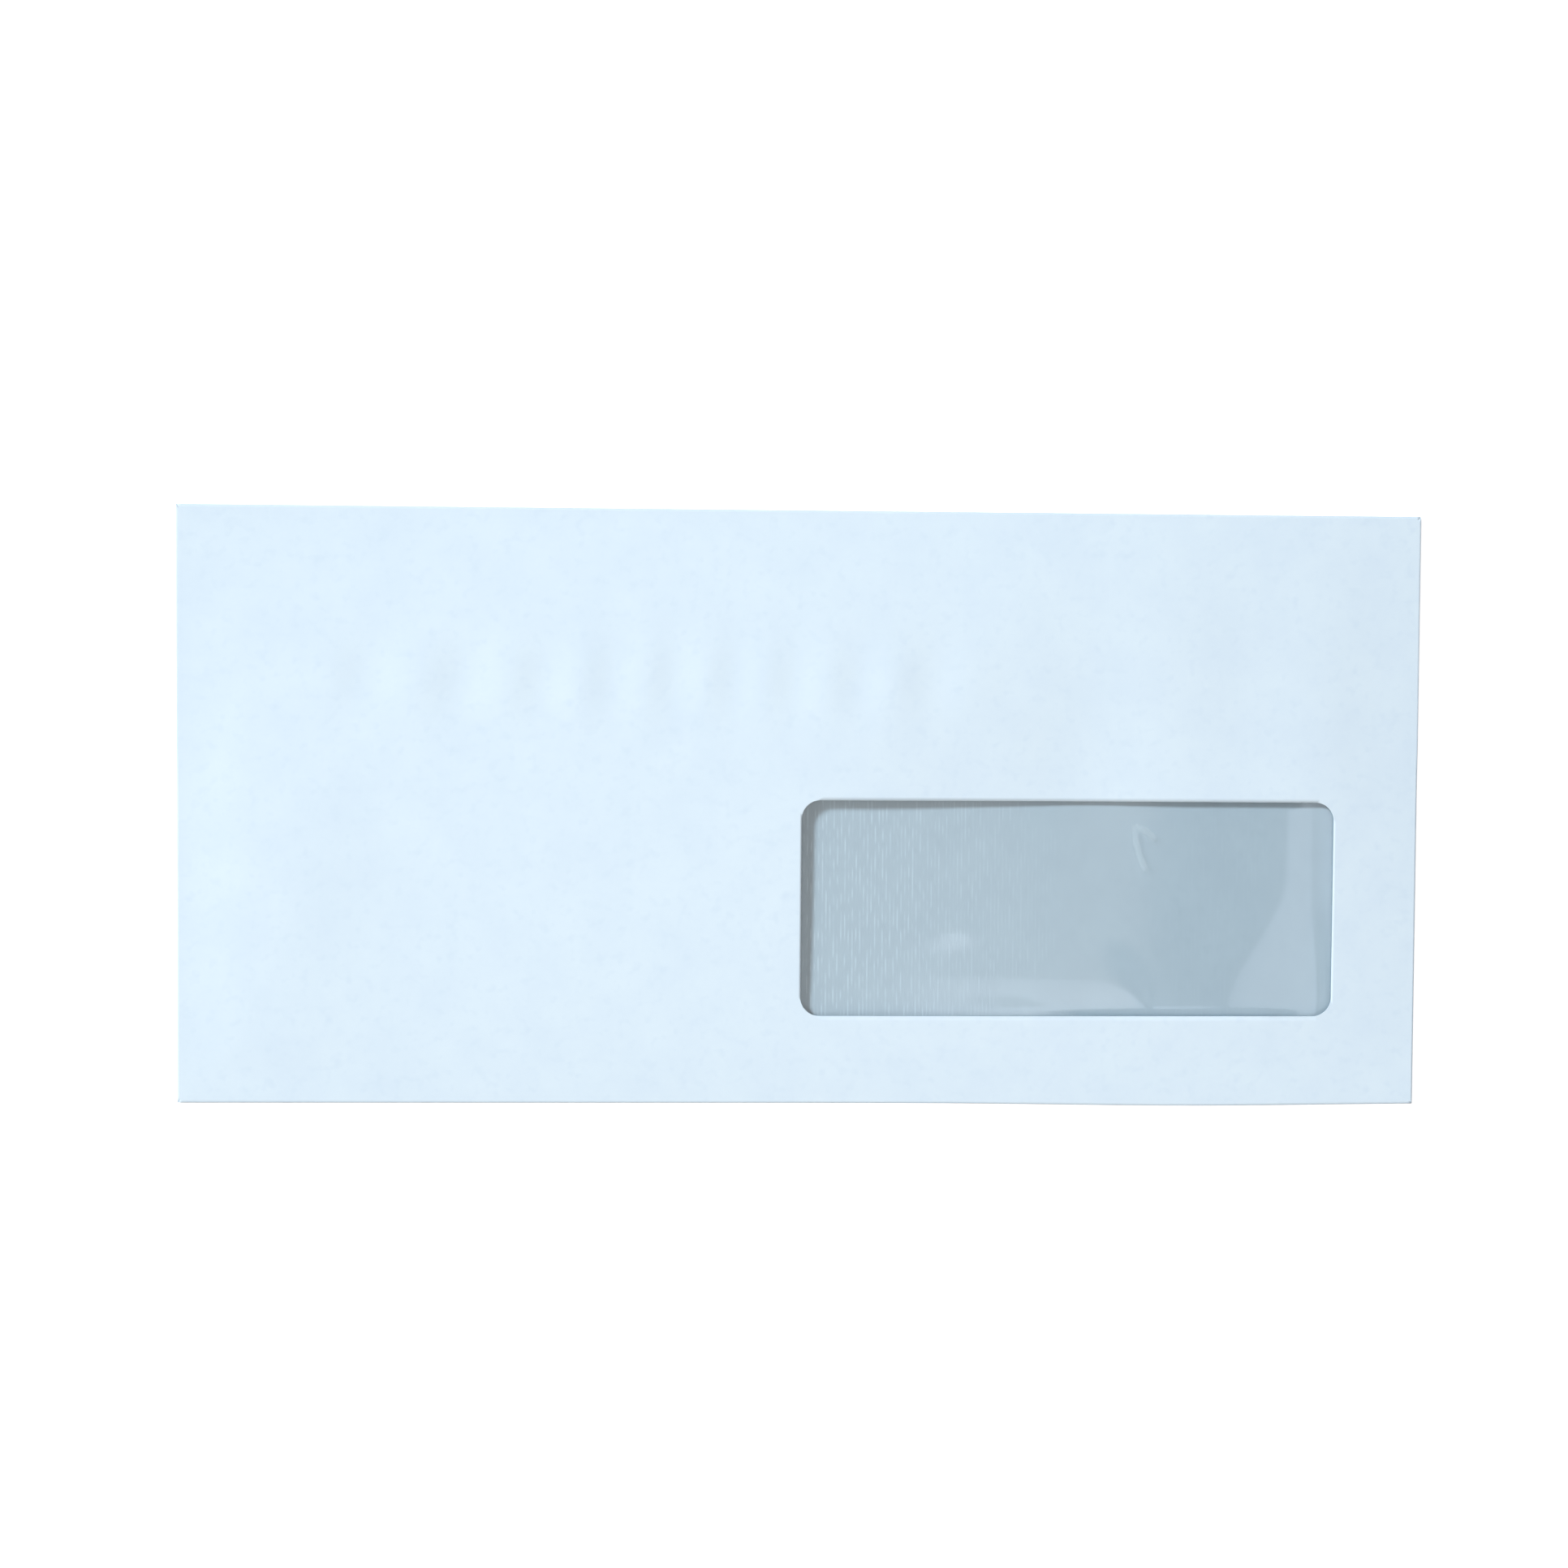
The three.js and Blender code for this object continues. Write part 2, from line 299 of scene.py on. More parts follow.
def backHalfWidth(y):
    return panelX - max(y - backTop + flaps["backCornerCut"], 0.0)


def growBackPanel(bm, edges):
    before = -panelY
    for y in rowsBetween(-panelY, backTop, flaps["rowStep"] / 2):
        share = backHalfWidth(y) / backHalfWidth(before)
        edges = extendSheet(bm, edges, lambda co: Vector((co.x * share, y, backLevel(y) + t / 2)))
        before = y


def sideHalfHeight(x):
    return panelY - flaps["sideTaper"] * (panelX - abs(x)) / (panelX - halfWidth + flaps["sideWidth"])


def growSideFlap(bm, edges, side):
    before = side * panelX
    for x in rowsBetween(side * panelX, side * (halfWidth - flaps["sideWidth"]), flaps["rowStep"]):
        share = sideHalfHeight(x) / sideHalfHeight(before)
        edges = extendSheet(bm, edges, lambda co: Vector(
            (x, co.y * share, backLevel(co.y * share) + flaps["sideLift"] + t / 2)))
        before = x


# Edges and faces in an order that only their corners decide, so that every run gives one mesh
def sortByCorners(bm):
    bm.verts.index_update()
    for items in (bm.edges, bm.faces):
        items.sort(key=lambda item: sum(math.sqrt(vert.index + 1.0) for vert in item.verts))
        items.index_update()


# Bring a finished bmesh to metres and make its object
def finishPiece(bm, name, materials, wall=None):
    sortByCorners(bm)
    bmesh.ops.scale(bm, vec=(mm, mm, mm), verts=bm.verts)
    mesh = bpy.data.meshes.new(name)
    bm.to_mesh(mesh)
    bm.free()
    mesh.shade_smooth()
    piece = bpy.data.objects.new(name, mesh)
    bpy.context.scene.collection.objects.link(piece)
    for material in materials:
        mesh.materials.append(material)
    if wall:
        solidify = piece.modifiers.new("wall", "SOLIDIFY")
        solidify.thickness = wall * mm
        solidify.offset = 0.0
        solidify.use_even_offset = True
        solidify.material_offset = 1 if len(materials) > 1 else 0
        solidify.material_offset_rim = 0
    return piece


# Let the ends of the folds meet in mitres, so that the corners are sharp
def mitreCorners(bm):
    reachX = max(vert.co.x for vert in bm.verts) - panelX
    reachY = max(vert.co.y for vert in bm.verts) - panelY
    start = paper["mitreLength"]
    for vert in bm.verts:
        x, y = vert.co.xy
        outX, outY = abs(x) - panelX, abs(y) - panelY
        if outY > tolerance:
            share = smooth(outX, -start, 0.0) * (1.0 - paper["mitre"])
            vert.co.x += math.copysign(outY * reachX / reachY * share, x)
        elif outX > tolerance:
            share = smooth(outY, -start, 0.0) * (1.0 - paper["mitre"])
            vert.co.y += math.copysign(outX * reachY / reachX * share, y)


def makeSheet(materials):
    bm = bmesh.new()
    gridOver(bm, -panelX, panelX, -panelY, panelY, paper["meshStep"])
    everywhere = (-halfWidth, halfWidth, -halfHeight, halfHeight)
    for sign in (-1, 1):  # a row of faces along each fold, for the mitred corners
        cutNear(bm, *everywhere, (sign * (panelX - paper["foldRow"]), 0, 0), (1, 0, 0))
        cutNear(bm, *everywhere, (0, sign * (panelY - paper["foldRow"]), 0), (0, 1, 0))
    cutWindow(bm)
    for vert in bm.verts:
        x, y = vert.co.xy
        vert.co.z = panelHeight(x, y)
        if max(abs(x) - panelX, abs(y) - panelY) > -tolerance:
            vert.co.z = frontMid
    print("front panel cut:", len(bm.faces), "faces")

    lowerMid = t / 2
    tail = paper["foldTail"]
    for side in (-1, 1):
        edges = edgesAlong(bm, lambda co: abs(co.y - side * panelY) < tolerance
                           and abs(co.x) < panelX + tolerance)
        edges = extendSheet(bm, edges, lambda co: Vector((co.x, side * (panelY + tail), co.z)))
        centre = (0, side * (panelY + tail), (frontMid + lowerMid) / 2)
        edges = foldOver(bm, edges, centre, (1, 0, 0), -side * math.pi)
        edges = extendSheet(bm, edges, lambda co: Vector((co.x, side * panelY, lowerMid)))
        if side > 0:
            growSealFlap(bm, edges)
        else:
            growBackPanel(bm, edges)

    sideMid = flaps["sideLift"] + t / 2
    for side in (-1, 1):
        edges = edgesAlong(bm, lambda co: abs(co.x - side * panelX) < tolerance
                           and abs(co.y) < panelY + tolerance
                           and co.z > frontMid - tolerance)
        edges = extendSheet(bm, edges, lambda co: Vector((side * (panelX + tail), co.y, co.z)))
        before = set(bm.verts)
        centre = (side * (panelX + tail), 0, (frontMid + sideMid) / 2)
        edges = foldOver(bm, edges, centre, (0, 1, 0), side * math.pi)
        for vert in set(bm.verts) - before:  # the fold closes up where the back panel climbs
            lower = backLevel(vert.co.y) + sideMid
            vert.co.z = lower + (vert.co.z - sideMid) * (frontMid - lower) / (frontMid - sideMid)
        edges = extendSheet(bm, edges, lambda co: Vector((side * panelX, co.y, co.z)))
        growSideFlap(bm, edges, side)

    mitreCorners(bm)
    for vert in bm.verts:
        bow = pillow["bottomBow"] * bell(vert.co.x, pillow["bottomBowAt"], pillow["bottomBowReach"])
        vert.co.y -= bow * smooth(-vert.co.y, panelY - pillow["bottomBowDepth"], panelY)
    bmesh.ops.recalc_face_normals(bm, faces=bm.faces)
    top = max(bm.faces, key=lambda face: face.calc_center_median().z)
    if top.normal.z < 0:
        bmesh.ops.reverse_faces(bm, faces=bm.faces)
    for face in bm.faces:  # the tint stops short of the seal flap
        centre = face.calc_center_median()
        onSealFlap = centre.z < flaps["sealBelow"] and centre.y > sealEdge
        face.material_index = 2 if onSealFlap else 0
    print("sheet folded:", len(bm.faces), "faces")
    return finishPiece(bm, "folded_sheet", materials, t)


film = {
    "thickness": 0.04,
    "drop": 0.33,               # from the middle of the paper to the middle of the film
    "meshStep": 0.6,
    "edgeFade": 1.2,            # the wrinkles begin this far inside the window
    "foldSlope": 0.05,          # a fold along the window's right edge
    "foldWidth": (4.1, 17.4),   # at its top and bottom
    "foldRight": (94.6, 96.4),
    "foldSlant": (12.0, 38.0),  # it turns from one to the other this far below the X axis
    "foldLead": (50.0, 0.5),    # the climb to it starts and ends this far to its left
    "foldReturn": 0.15,         # share of the drop that comes back on its right
    "foldBend": 0.35,           # share of the drop that gets steeper towards its right
    "ridgeSlope": 0.05,         # a low ridge above the window's bottom edge
    "ridgeTop": -31.2,
    "ridgeWidth": (3.6, 8.1),   # at its left and right
    "ridgeGrowth": (38.0, 56.0),
    "ridgeStart": (14.0, 56.0),
    "ridgeEnd": 65.5,
    "ridgeBend": (14.0, 8.0),   # its top edge turns down over the first length by the second
    "ridgeStop": (-1.0, 2.0),   # it dies away between these distances past its end
    "ridgeFade": 9.0,
    "creaseHeight": 0.015,
    "creaseReach": 1.0,
    "creaseFade": (0.75, 1.15),
}

# Two small curved creases that meet near the window's top edge: the circle each one
# follows as x, y and radius, and the spot round which it shows as x, y and reach
# The film's material paints a highlight along these circles, round the same spots
creases = [
    (81.15, -2.05, 19.5, 62.4, -7.4, 4.6),
    (57.2, -14.3, 12.2, 63.8, -4.2, 2.7),
]

# Small blisters: x, y, height, reach along x, reach along y
blisters = [
    (27.5, -22.4, 0.27, 5.4, 2.9),
]


# The film hangs taut between the four edges of the window
def tautHeight(x, y):
    across = (x - windowLeft) / (windowRight - windowLeft)
    up = (y - windowBottom) / (windowTop - windowBottom)
    height = (1.0 - up) * panelHeight(x, windowBottom) + up * panelHeight(x, windowTop)
    height += (1.0 - across) * panelHeight(windowLeft, y) + across * panelHeight(windowRight, y)
    for cornerX, shareX in ((windowLeft, 1.0 - across), (windowRight, across)):
        for cornerY, shareY in ((windowBottom, 1.0 - up), (windowTop, up)):
            height -= shareX * shareY * panelHeight(cornerX, cornerY)
    return height


# A fold that climbs slowly from the left, drops, and comes back up to the window's right edge
def foldHeight(x, y):
    down = smooth(-y, *film["foldSlant"])
    right = film["foldRight"][0] + (film["foldRight"][1] - film["foldRight"][0]) * down
    left = right - film["foldWidth"][0] - (film["foldWidth"][1] - film["foldWidth"][0]) * down
    drop = film["foldSlope"] * (right - left)
    share = min(max((x - left) / (right - left), 0.0), 1.0)
    leadStart, leadEnd = film["foldLead"]
    climb = (1.0 - film["foldReturn"]) * drop * smooth(x, left - leadStart, left - leadEnd)
    fall = drop * (film["foldBend"] * share * share + (1.0 - film["foldBend"]) * share)
    return climb - fall + film["foldReturn"] * drop * smooth(x, right, windowRight)


def ridgeHeight(x, y):
    bendLength, bendDrop = film["ridgeBend"]
    bend = min(max((x - film["ridgeEnd"]) / bendLength + 1.0, 0.0), 1.0)
    top = film["ridgeTop"] - bendDrop * bend ** 3
    narrow, wide = film["ridgeWidth"]
    low = film["ridgeTop"] - narrow - (wide - narrow) * smooth(x, *film["ridgeGrowth"])
    width = max(top - low, 0.01)  # never nothing, because it divides
    share = min(max((y - low) / width, 0.0), 1.0)
    climb = film["ridgeSlope"] * smooth(x, *film["ridgeStart"]) * width * share
    past = smooth(x - film["ridgeEnd"], *film["ridgeStop"])
    return climb * (1.0 - smooth(y, top, top + film["ridgeFade"])) * (1.0 - past)


def creaseHeight(x, y):
    height = 0.0
    for centreX, centreY, radius, spotX, spotY, reach in creases:
        beside = math.hypot(x - centreX, y - centreY) - radius
        near, far = [share * reach for share in film["creaseFade"]]
        shown = 1.0 - smooth(math.hypot(x - spotX, y - spotY), near, far)
        height = max(height, film["creaseHeight"] * bell(beside, 0.0, film["creaseReach"]) * shown)
    return height


def filmHeight(x, y):
    inside = -outsideWindow(x, y)
    if not (windowLeft < x < windowRight and windowBottom < y < windowTop):
        return panelHeight(x, y) - film["drop"]
    wrinkles = foldHeight(x, y) + ridgeHeight(x, y) + creaseHeight(x, y)
    for centreX, centreY, rise, reachX, reachY in blisters:
        wrinkles += rise * bell(x, centreX, reachX) * bell(y, centreY, reachY)
    return tautHeight(x, y) - film["drop"] + wrinkles * smooth(inside, 0.0, film["edgeFade"])


def makeFilm(material):
    bm = bmesh.new()
    gridOver(bm, filmLow.x, filmHigh.x, filmLow.y, filmHigh.y, film["meshStep"])
    for vert in bm.verts:
        vert.co.z = filmHeight(vert.co.x, vert.co.y)
    bmesh.ops.recalc_face_normals(bm, faces=bm.faces)
    print("film wrinkled:", len(bm.faces), "faces")
    return finishPiece(bm, "clear_film", [material], film["thickness"])


def newMaterial(name):
    material = bpy.data.materials.new(name)
    material.use_nodes = True
    tree = material.node_tree
    tree.nodes.clear()
    return material, tree


def add(tree, kind, **settings):
    made = tree.nodes.new(kind)
    for name, value in settings.items():
        setattr(made, name, value)
    return made


# Give a socket a plain value, or what another node puts out
def feed(tree, socket, value):
    if isinstance(value, bpy.types.NodeSocket):
        tree.links.new(value, socket)
    else:
        socket.default_value = value


def compute(tree, operation, *values):
    node = add(tree, "ShaderNodeMath", operation=operation)
    for socket, value in zip(node.inputs, values):
        feed(tree, socket, value)
    return node.outputs["Value"]


def mixColours(tree, factor, first, second):
    mix = add(tree, "ShaderNodeMix", data_type="RGBA")
    for socket, value in ((mix.inputs[0], factor), (mix.inputs[6], first), (mix.inputs[7], second)):
        feed(tree, socket, value)
    return mix.outputs[2]


# Bring the range from low to high to the range from start to end, and stop at its ends
def mapRange(tree, value, low, high, start=0.0, end=1.0, kind="LINEAR"):
    node = add(tree, "ShaderNodeMapRange", interpolation_type=kind)
    names = ("Value", "From Min", "From Max", "To Min", "To Max")
    for name, setting in zip(names, (value, low, high, start, end)):
        feed(tree, node.inputs[name], setting)
    return node.outputs["Result"]


def objectPlace(tree):
    return add(tree, "ShaderNodeTexCoord").outputs["Object"]


def addNoise(tree, place, scale, settings):
    noise = add(tree, "ShaderNodeTexNoise")
    feed(tree, noise.inputs["Vector"], place)
    feed(tree, noise.inputs["Scale"], scale)
    for name, value in settings.items():
        noise.inputs[name].default_value = value
    return noise.outputs["Fac"]


# 1 for the rays of the named kinds and 0 for all others
def isRay(tree, *kinds):
    path = add(tree, "ShaderNodeLightPath")
    found = path.outputs[kinds[0]]
    for kind in kinds[1:]:
        found = compute(tree, "MAXIMUM", found, path.outputs[kind])
    return found


def showSurface(tree, surface):
    out = add(tree, "ShaderNodeOutputMaterial")
    feed(tree, out.inputs["Surface"], surface)


paperGrain = {
    "cloud": {"Detail": 5.0, "Roughness": 0.65},
    "cloudRange": (0.28, 0.72),
    "fleck": {"Detail": 1.0},
    "fleckRange": (0.55, 0.95),
    "fibreSize": 3200.0,
    "fibre": {"Detail": 4.0, "Distortion": 1.2},
    "specular": 0.25,
}


# Cloudy look-through, small flecks and fine fibres of uncoated paper, shared by all its faces
def makePaperGroup():
    group = bpy.data.node_groups.new("uncoatedPaper", "ShaderNodeTree")
    for name in ("Cloud Size", "Fleck Size"):
        group.interface.new_socket(name, in_out="INPUT", socket_type="NodeSocketFloat")
    for name in ("Cloud", "Fleck", "Height"):
        group.interface.new_socket(name, in_out="OUTPUT", socket_type="NodeSocketFloat")
    inputs = add(group, "NodeGroupInput")
    outputs = add(group, "NodeGroupOutput")
    place = objectPlace(group)
    cloud = addNoise(group, place, inputs.outputs["Cloud Size"], paperGrain["cloud"])
    fleck = addNoise(group, place, inputs.outputs["Fleck Size"], paperGrain["fleck"])
    fibre = addNoise(group, place, paperGrain["fibreSize"], paperGrain["fibre"])
    feed(group, outputs.inputs["Cloud"], mapRange(group, cloud, *paperGrain["cloudRange"]))
    feed(group, outputs.inputs["Fleck"], mapRange(group, fleck, *paperGrain["fleckRange"]))
    feed(group, outputs.inputs["Height"], fibre)
    return group


paperLook = {
    "cloudSize": 110.0,
    "fleckSize": 520.0,
    "light": (0.778, 0.914, 1.0, 1.0),
    "dark": (0.738, 0.875, 0.98, 1.0),
    "fleck": (0.714, 0.855, 0.964, 1.0),
    "roughness": (0.78, 0.9),
    "bump": 0.25,
    "bumpDepth": 0.00002,
}


def addGrain(tree, group, look):
    grain = add(tree, "ShaderNodeGroup", node_tree=group)
    grain.inputs["Cloud Size"].default_value = look["cloudSize"]
    grain.inputs["Fleck Size"].default_value = look["fleckSize"]
    return grain


def paperColour(tree, grain, look):
    cloudy = mixColours(tree, grain.outputs["Cloud"], look["light"], look["dark"])
    return mixColours(tree, grain.outputs["Fleck"], cloudy, look["fleck"])


def paperShader(tree, grain, colour, look):
    height = grain.outputs["Height"]
    bump = add(tree, "ShaderNodeBump")
    bump.inputs["Strength"].default_value = look["bump"]
    bump.inputs["Distance"].default_value = look["bumpDepth"]
    feed(tree, bump.inputs["Height"], height)
    shader = add(tree, "ShaderNodeBsdfPrincipled")
    shader.inputs["Specular IOR Level"].default_value = paperGrain["specular"]
    feed(tree, shader.inputs["Base Color"], colour)
    feed(tree, shader.inputs["Roughness"], mapRange(tree, height, 0.0, 1.0, *look["roughness"]))
    feed(tree, shader.inputs["Normal"], bump.outputs["Normal"])
    showSurface(tree, shader.outputs["BSDF"])


def makePaperMaterial(group):
    material, tree = newMaterial("whitePaper")
    grain = addGrain(tree, group, paperLook)
    paperShader(tree, grain, paperColour(tree, grain, paperLook), paperLook)
    return material


tintLook = {
    "cloudSize": 110.0,
    "fleckSize": 560.0,
    "light": (0.452, 0.557, 0.630, 1.0),
    "dark": (0.425, 0.525, 0.600, 1.0),
    "fleck": (0.410, 0.510, 0.585, 1.0),
    "line": (0.580, 0.690, 0.763, 1.0),
    "linePitch": 0.7,           # mm between the hatch lines
    "lineRange": (0.2, 1.0),    # part of a sine wave that makes a line
    "dashLength": 2.8,          # mm, about
    "dashNoise": {"Detail": 1.0},
    "dashRange": (0.45, 0.65),
    "hatchFade": (0.012, 0.052),  # m: the hatch thins out towards the right
    "hatchShare": (1.0, 0.12),
    "roughness": (0.7, 0.85),
    "bump": 0.2,
    "bumpDepth": 0.00002,
}


# Blue-grey tint on the inside of the sheet, with a fine hatch of broken upright lines
def makeTintMaterial(group):
    material, tree = newMaterial("insideTint")
    pitch = tintLook["linePitch"] * mm
    dash = tintLook["dashLength"] * mm
    place = objectPlace(tree)
    parts = add(tree, "ShaderNodeSeparateXYZ")
    feed(tree, parts.inputs["Vector"], place)
    across = parts.outputs["X"]
    wave = compute(tree, "SINE", compute(tree, "MULTIPLY", across, 2.0 * math.pi / pitch))
    lines = mapRange(tree, wave, *tintLook["lineRange"])

    stretch = add(tree, "ShaderNodeMapping")
    stretch.inputs["Scale"].default_value = (1.0 / pitch, 1.0 / dash, 1.0)
    feed(tree, stretch.inputs["Vector"], place)
    breaks = addNoise(tree, stretch.outputs["Vector"], 1.0, tintLook["dashNoise"])
    dashes = compute(tree, "MULTIPLY", lines, mapRange(tree, breaks, *tintLook["dashRange"]))
    thinning = mapRange(tree, across, *tintLook["hatchFade"], *tintLook["hatchShare"])
    hatch = compute(tree, "MULTIPLY", dashes, thinning)

    grain = addGrain(tree, group, tintLook)
    colour = mixColours(tree, hatch, paperColour(tree, grain, tintLook), tintLook["line"])
    paperShader(tree, grain, colour, tintLook)
    return material


filmLook = {
    "tint": (0.965, 0.985, 0.99, 1.0),
    "ior": 1.52,
    "roughness": (0.1, 0.16),
    "hazeSize": 45.0,
    "mirror": (1.0, 1.0, 1.0, 1.0),
    # Colour, share of light, width and fade of the highlight painted along the creases
    "creaseHighlightTint": (0.82, 0.95, 1.0, 1.0),
    "creaseHighlightShare": 0.14,        # share of light that the painted highlight along a crease scatters
    "creaseHighlightWidth": (0.3, 0.85),  # mm beside the line, from whole to gone
    "creaseFade": (0.6, 1.1),
}


# Painted highlights where the film is creased, each a short piece of a circle
def addCreaseHighlights(tree, place):
    paintedHighlights = []
    for centreX, centreY, radius, spotX, spotY, reach in creases:
        height = filmHeight(spotX, spotY)
        away = []
        for x, y in ((centreX, centreY), (spotX, spotY)):
            distance = add(tree, "ShaderNodeVectorMath", operation="DISTANCE")
            distance.inputs[1].default_value = (x * mm, y * mm, height * mm)
            feed(tree, distance.inputs[0], place)
            away.append(distance.outputs["Value"])
        beside = compute(tree, "ABSOLUTE", compute(tree, "SUBTRACT", away[0], radius * mm))
        lineNear, lineFar = [width * mm for width in filmLook["creaseHighlightWidth"]]
        spotNear, spotFar = [share * reach * mm for share in filmLook["creaseFade"]]
        line = mapRange(tree, beside, lineNear, lineFar, 1.0, 0.0, "SMOOTHSTEP")
        spot = mapRange(tree, away[1], spotNear, spotFar, 1.0, 0.0, "SMOOTHSTEP")
        paintedHighlights.append(compute(tree, "MULTIPLY", line, spot))
    return compute(tree, "MAXIMUM", *paintedHighlights)


# Clear film: what lies behind shows straight through, its outer face mirrors a little, and a highlight
# is painted along its creases
def makeFilmMaterial():
    material, tree = newMaterial("clearFilm")
    place = objectPlace(tree)
    paintedHighlights = addCreaseHighlights(tree, place)
    haze = addNoise(tree, place, filmLook["hazeSize"], {})
    ior, highlightShare = filmLook["ior"], filmLook["creaseHighlightShare"]
    mirrored = ((ior - 1.0) / (ior + 1.0)) ** 2
    both = compute(tree, "MULTIPLY_ADD", paintedHighlights, highlightShare / mirrored, 1.0)  # painted highlight and mirrored light together

    shader = add(tree, "ShaderNodeBsdfPrincipled")
    # the painted highlight along the creases takes a pale blue colour
    colour = mixColours(tree, paintedHighlights, filmLook["mirror"], filmLook["creaseHighlightTint"])
    feed(tree, shader.inputs["Base Color"], colour)
    feed(tree, shader.inputs["Metallic"], compute(tree, "DIVIDE", 1.0, both))
    feed(tree, shader.inputs["Roughness"], mapRange(tree, haze, 0.0, 1.0, *filmLook["roughness"]))

    fresnel = add(tree, "ShaderNodeFresnel")
    fresnel.inputs["IOR"].default_value = ior
    side = add(tree, "ShaderNodeNewGeometry")
    # light that the painted crease highlight adds to the mirrored light
    highlightScatter = compute(tree, "MULTIPLY", paintedHighlights, highlightShare)
    total = compute(tree, "ADD", fresnel.outputs["Fac"], highlightScatter)
    outer = compute(tree, "SUBTRACT", 1.0, side.outputs["Backfacing"])
    seen = compute(tree, "MULTIPLY", total, outer)

    clear = add(tree, "ShaderNodeBsdfTransparent")
    clear.inputs["Color"].default_value = filmLook["tint"]
    mix = add(tree, "ShaderNodeMixShader")
    for socket, value in zip(mix.inputs, (seen, clear.outputs["BSDF"], shader.outputs["BSDF"])):
        feed(tree, socket, value)
    showSurface(tree, mix.outputs["Shader"])
    return material


glueLook = {
    "light": (0.8, 0.79, 0.72, 1.0),
    "dark": (0.72, 0.7, 0.62, 1.0),
    "roughness": (0.35, 0.6),
    "streakSize": 400.0,
    "streak": {"Detail": 3.0},
}

gumLook = {
    "light": (0.76, 0.7, 0.56, 1.0),
    "dark": (0.66, 0.59, 0.44, 1.0),
    "roughness": (0.15, 0.35),
    "streakSize": 400.0,
    "streak": {"Detail": 3.0},
}


# Dried glue and gum: a slightly uneven, faintly glossy coat
def makeGlueMaterial(name, look):
    material, tree = newMaterial(name)
    streak = addNoise(tree, objectPlace(tree), look["streakSize"], look["streak"])
    shader = add(tree, "ShaderNodeBsdfPrincipled")
    feed(tree, shader.inputs["Base Color"], mixColours(tree, streak, look["light"], look["dark"]))
    feed(tree, shader.inputs["Roughness"], mapRange(tree, streak, 0.0, 1.0, *look["roughness"]))
    showSurface(tree, shader.outputs["BSDF"])
    return material


table = {
    "size": 1.6,
    "cells": 8,
    "colour": (0.93, 0.93, 0.93, 1.0),
    "paler": 1.03,
    "grainSize": 60.0,
    "glow": 0.68,               # for the camera and in mirrors alone, so that the table reads as white
}


def makeTable():
    bm = bmesh.new()
    bmesh.ops.create_grid(
        bm, x_segments=table["cells"], y_segments=table["cells"], size=table["size"] / 2)
    mesh = bpy.data.meshes.new("table_top")
    bm.to_mesh(mesh)
    bm.free()
    top = bpy.data.objects.new("table_top", mesh)
    bpy.context.scene.collection.objects.link(top)

    material, tree = newMaterial("whiteTable")
    surface = add(tree, "ShaderNodeBsdfDiffuse")
    grain = addNoise(tree, objectPlace(tree), table["grainSize"], {})
    paler = tuple(min(value * table["paler"], 1.0) for value in table["colour"])
    feed(tree, surface.inputs["Color"], mixColours(tree, grain, table["colour"], paler))
    glow = add(tree, "ShaderNodeEmission")
    seen = isRay(tree, "Is Camera Ray", "Is Glossy Ray")
    feed(tree, glow.inputs["Strength"], compute(tree, "MULTIPLY", seen, table["glow"]))
    both = add(tree, "ShaderNodeAddShader")
    feed(tree, both.inputs[0], surface.outputs["BSDF"])
    feed(tree, both.inputs[1], glow.outputs["Emission"])
    showSurface(tree, both.outputs["Shader"])
    mesh.materials.append(material)


luminance = (0.2126, 0.7152, 0.0722)  # share of each colour in what the eye sees as bright

studio = {
    "worldLight": 0.07,
    "background": (1.0, 1.0, 1.0, 1.0),
    "warmLight": (1.0, 0.92, 0.85),     # light that fills the shadows
    "coolLight": (0.92, 0.965, 1.02),
    "skyLight": (0.95, 1.0, 1.12),
    "keyFrom": (-0.625, 0.43, 0.651),   # the window's shadows give this direction
    "keyDistance": 3.04,
    "keySize": 0.53,
    "keyLevel": 0.583,                  # share of the light on a level surface
    "fillFrom": (-0.685, -0.548, 0.48),
    "fillDistance": 1.46,
    "fillSize": 0.5,
    "fillLevel": 0.055,
    "overheadFrom": (0.0162, -0.0543, 0.3),
    "overheadSize": (0.2128, 0.3314),
    "overheadGlow": 1.05,
    "sideFrom": (0.53, -0.125, 0.8),
    "sideSize": (0.28, 0.35),
    "sideGlow": 1.8,
    "lowerFrom": (0.215, -0.295, 0.8),
    "lowerSize": (0.19, 0.22),
    "lowerGlow": 1.85,
}


def makeWorld():
    world = bpy.data.worlds.new("whiteRoom")
    world.use_nodes = True
    tree = world.node_tree
    tree.nodes.clear()
    seen = isRay(tree, "Is Camera Ray", "Is Glossy Ray", "Is Transmission Ray")
    warm = tuple(value / studio["warmLight"][1] for value in studio["warmLight"]) + (1.0,)
    back = add(tree, "ShaderNodeBackground")
    feed(tree, back.inputs["Color"], mixColours(tree, seen, warm, studio["background"]))
    feed(tree, back.inputs["Strength"], mapRange(tree, seen, 0.0, 1.0, studio["worldLight"], 1.0))
    out = add(tree, "ShaderNodeOutputWorld")
    feed(tree, out.inputs["Surface"], back.outputs["Background"])
    bpy.context.scene.world = world


# A soft box that faces the middle of the envelope
def makeLamp(name, place, size, watts, colour):
    data = bpy.data.lights.new(name, "AREA")
    data.shape = "RECTANGLE"
    data.size, data.size_y = size
    data.color = colour
    data.energy = watts / sum(share * value for share, value in zip(luminance, colour))
    lamp = bpy.data.objects.new(name, data)
    lamp.location = place
    back = Vector(place).normalized()
    right = (Vector((1, 0, 0)) - back * back.x).normalized()
    lamp.rotation_euler = Matrix((right, back.cross(right), back)).transposed().to_euler()
    bpy.context.scene.collection.objects.link(lamp)


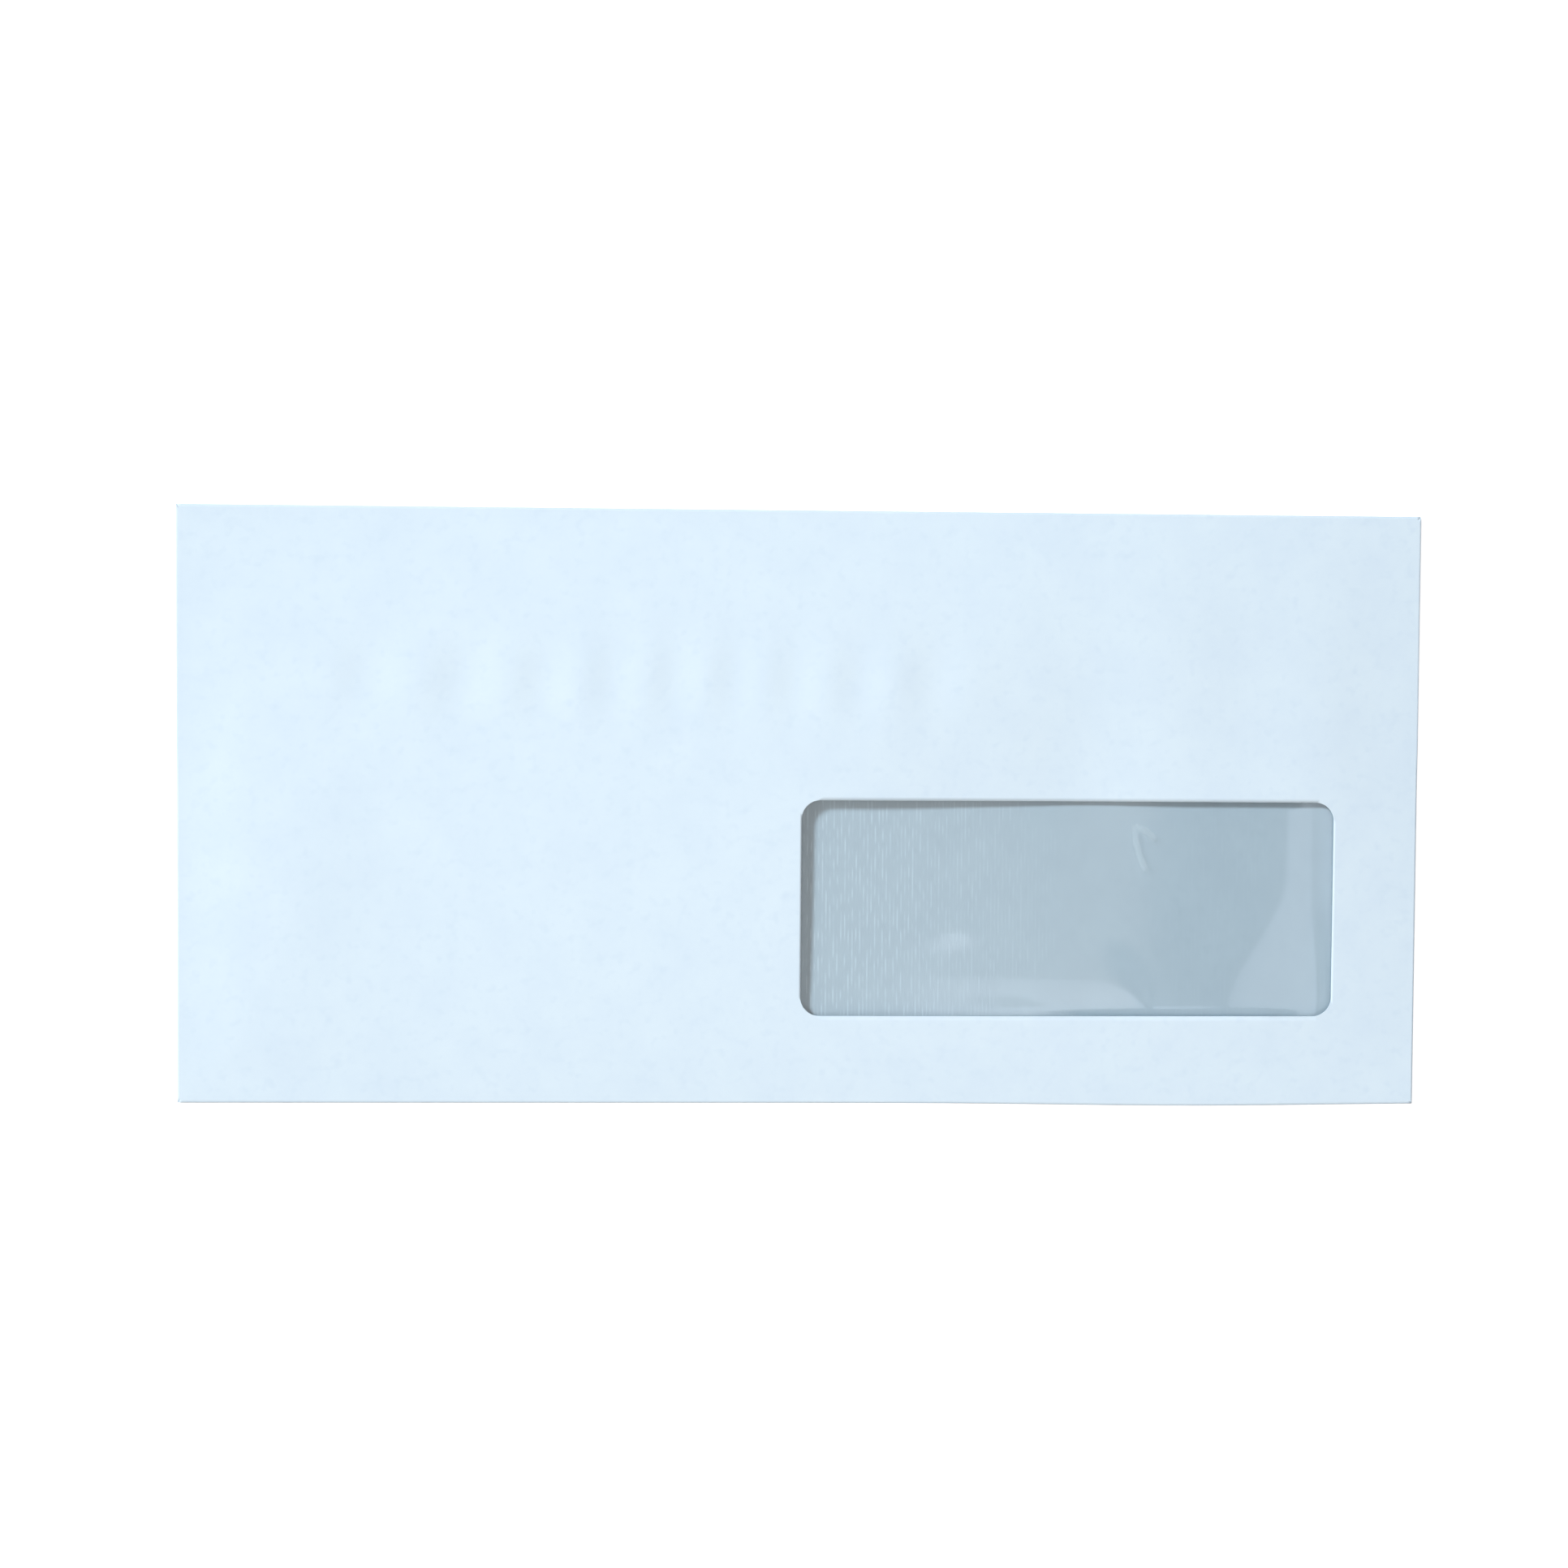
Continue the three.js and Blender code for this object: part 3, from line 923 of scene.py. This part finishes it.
def makeLights():
    for name, colour in (("key", studio["coolLight"]), ("fill", studio["warmLight"])):
        towards = Vector(studio[name + "From"]).normalized()
        distance, size = studio[name + "Distance"], studio[name + "Size"]
        watts = studio[name + "Level"] * math.pi * math.pi * distance ** 2 / towards.z
        makeLamp(name + "_light", towards * distance, (size, size), watts, colour)
    for name, tone in (("overhead", "warmLight"), ("side", "skyLight"), ("lower", "skyLight")):
        colour = studio[tone]
        width, depth = studio[name + "Size"]
        watts = studio[name + "Glow"] * math.pi * width * depth
        makeLamp(name + "_light", studio[name + "From"], (width, depth), watts, colour)


camera = {
    "place": (-13.94, 12.93, 331.26),   # mm, fitted to the corners of the outline and the window
    "turn": (-1.488, -1.781, 0.380),    # degrees
    "lens": 40.994,
    "sensor": 36.0,
    "nearest": 0.01,                    # m
}


def makeCamera():
    data = bpy.data.cameras.new("camera")
    data.sensor_width = camera["sensor"]
    data.sensor_fit = "HORIZONTAL"
    data.lens = camera["lens"]
    data.clip_start = camera["nearest"]
    eye = bpy.data.objects.new("camera", data)
    eye.location = Vector(camera["place"]) * mm
    eye.rotation_euler = [math.radians(angle) for angle in camera["turn"]]
    bpy.context.scene.collection.objects.link(eye)
    bpy.context.scene.camera = eye


makeCamera()
makeWorld()
makeLights()
makeTable()
print("studio ready")

paperGroup = makePaperGroup()
whitePaper = makePaperMaterial(paperGroup)
insideTint = makeTintMaterial(paperGroup)
clearFilm = makeFilmMaterial()
glueCoat = makeGlueMaterial("windowGlue", glueLook)
gumCoat = makeGlueMaterial("driedGum", gumLook)
print("materials ready")

foldedSheet = makeSheet([whitePaper, insideTint, whitePaper, whitePaper])
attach(foldedSheet, "root")
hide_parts("envelope_blank")

filmPiece = makeFilm(clearFilm)
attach(filmPiece, "root")
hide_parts("window_film")

for nodeName, coat in (("window_glue", glueCoat), ("side_seam_glue_left", glueCoat),
                       ("side_seam_glue_right", glueCoat), ("flap_gum", gumCoat)):
    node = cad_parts[nodeName]
    node.data.materials.clear()
    node.data.materials.append(coat)
print("pieces ready")

bpy.context.scene.view_settings.view_transform = "Standard"
